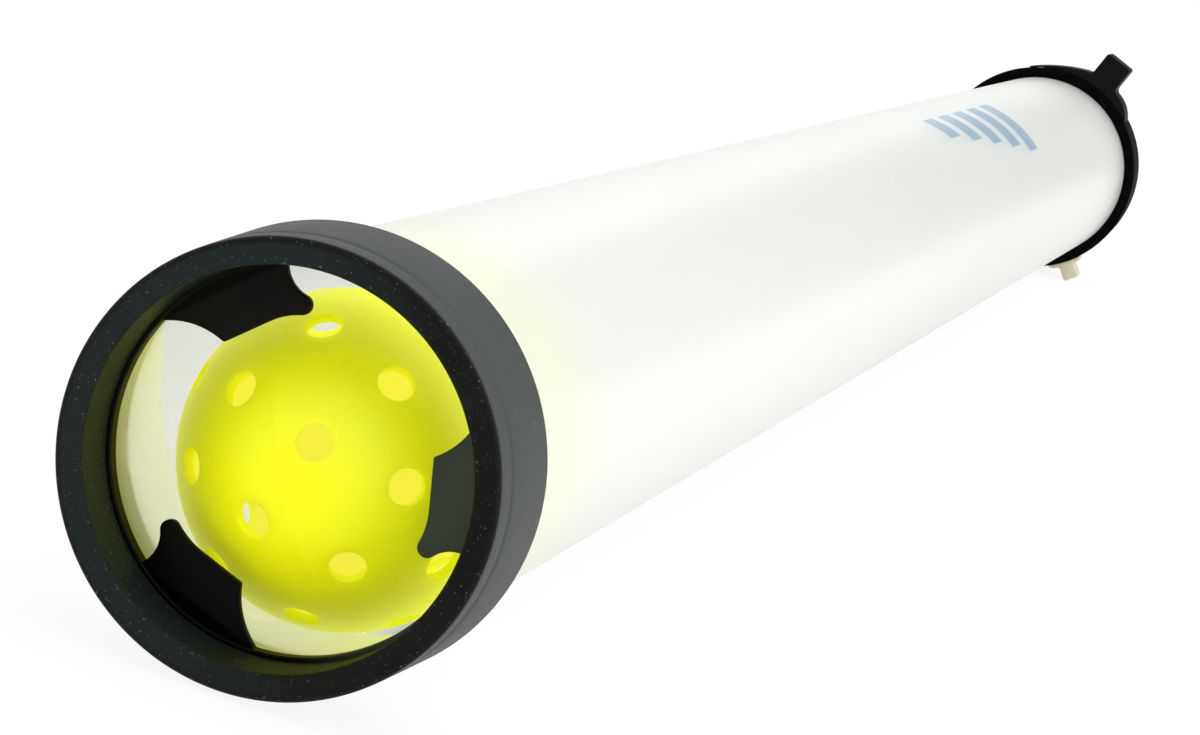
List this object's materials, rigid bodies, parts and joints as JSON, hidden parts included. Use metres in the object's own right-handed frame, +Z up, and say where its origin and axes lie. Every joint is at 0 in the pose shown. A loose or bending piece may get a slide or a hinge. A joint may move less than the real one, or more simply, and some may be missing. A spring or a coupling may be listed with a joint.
{
  "type": "pickleball pickup tube",
  "caption": "Clear tube that picks up and stores pickleballs: it is pushed down over a ball, and rubber flaps in the collar at each end let the ball in and hold it.",
  "frame": {"origin": "on the floor under the middle of the tube, which lies on its two collars", "axes": "+Y along the tube from its mouth to its top end, +Z up, +X to the right as seen from the mouth"},
  "size_m": [0.0968, 1.144, 0.1111],
  "materials": {
    "clear_tube": "clear extruded plastic, smooth and lightly scuffed",
    "collar_rubber": "moulded rubber, matte with a fine grain",
    "valve_rubber": "soft moulded rubber, satin",
    "lug_black": "moulded plastic, black",
    "lug_natural": "moulded plastic in its natural colour",
    "ball_plastic": "moulded plastic, semi-matte, welded along its seam"
  },
  "bodies": {
    "tube_body": {"tube": "clear_tube", "mouth_collar": "collar_rubber", "mouth_valve_ring": "valve_rubber", "top_collar": "collar_rubber", "top_valve_ring": "valve_rubber", "hanging_lug": "lug_black", "natural_lug": "lug_natural"},
    "mouth_flap_a_body": {"mouth_flap_a": "valve_rubber"},
    "mouth_flap_b_body": {"mouth_flap_b": "valve_rubber"},
    "mouth_flap_c_body": {"mouth_flap_c": "valve_rubber"},
    "top_flap_a_body": {"top_flap_a": "valve_rubber"},
    "top_flap_b_body": {"top_flap_b": "valve_rubber"},
    "top_flap_c_body": {"top_flap_c": "valve_rubber"},
    "ball_body": {"ball": "ball_plastic"}
  },
  "joints": [
    {"name": "mouth_flap_a_bend", "type": "hinge", "parent": "tube_body", "child": "mouth_flap_a_body", "pos_m": [-0.02477, -0.5548, 0.0768], "axis": [0.7536, 0, 0.6574], "range_deg": [0, 85], "stiffness_Nm_per_rad": 0.01},
    {"name": "mouth_flap_b_bend", "type": "hinge", "parent": "tube_body", "child": "mouth_flap_b_body", "pos_m": [0.03698, -0.5548, 0.05566], "axis": [0.1925, 0, -0.9813], "range_deg": [0, 85], "stiffness_Nm_per_rad": 0.01},
    {"name": "mouth_flap_c_bend", "type": "hinge", "parent": "tube_body", "child": "mouth_flap_c_body", "pos_m": [-0.01221, -0.5548, 0.01275], "axis": [-0.9461, 0, 0.3239], "range_deg": [0, 85], "stiffness_Nm_per_rad": 0.01},
    {"name": "top_flap_a_bend", "type": "hinge", "parent": "tube_body", "child": "top_flap_a_body", "pos_m": [0.01152, 0.5568, 0.08428], "axis": [0.9521, 0, -0.3057], "range_deg": [0, 85], "stiffness_Nm_per_rad": 0.01},
    {"name": "top_flap_b_bend", "type": "hinge", "parent": "tube_body", "child": "top_flap_b_body", "pos_m": [0.02531, 0.5568, 0.02048], "axis": [-0.7408, 0, -0.6717], "range_deg": [0, 85], "stiffness_Nm_per_rad": 0.01},
    {"name": "top_flap_c_bend", "type": "hinge", "parent": "tube_body", "child": "top_flap_c_body", "pos_m": [-0.03683, 0.5568, 0.04044], "axis": [-0.2113, 0, 0.9774], "range_deg": [0, 85], "stiffness_Nm_per_rad": 0.01},
    {"name": "ball_roll", "type": "slide", "parent": "tube_body", "child": "ball_body", "axis": [0, 1, 0], "range_m": [0, 1.038]}
  ],
  "couplings": [
    {"joint": "mouth_flap_b_bend", "follows": "mouth_flap_a_bend", "ratio": 1},
    {"joint": "mouth_flap_c_bend", "follows": "mouth_flap_a_bend", "ratio": 1},
    {"joint": "top_flap_b_bend", "follows": "top_flap_a_bend", "ratio": 1},
    {"joint": "top_flap_c_bend", "follows": "top_flap_a_bend", "ratio": 1}
  ]
}
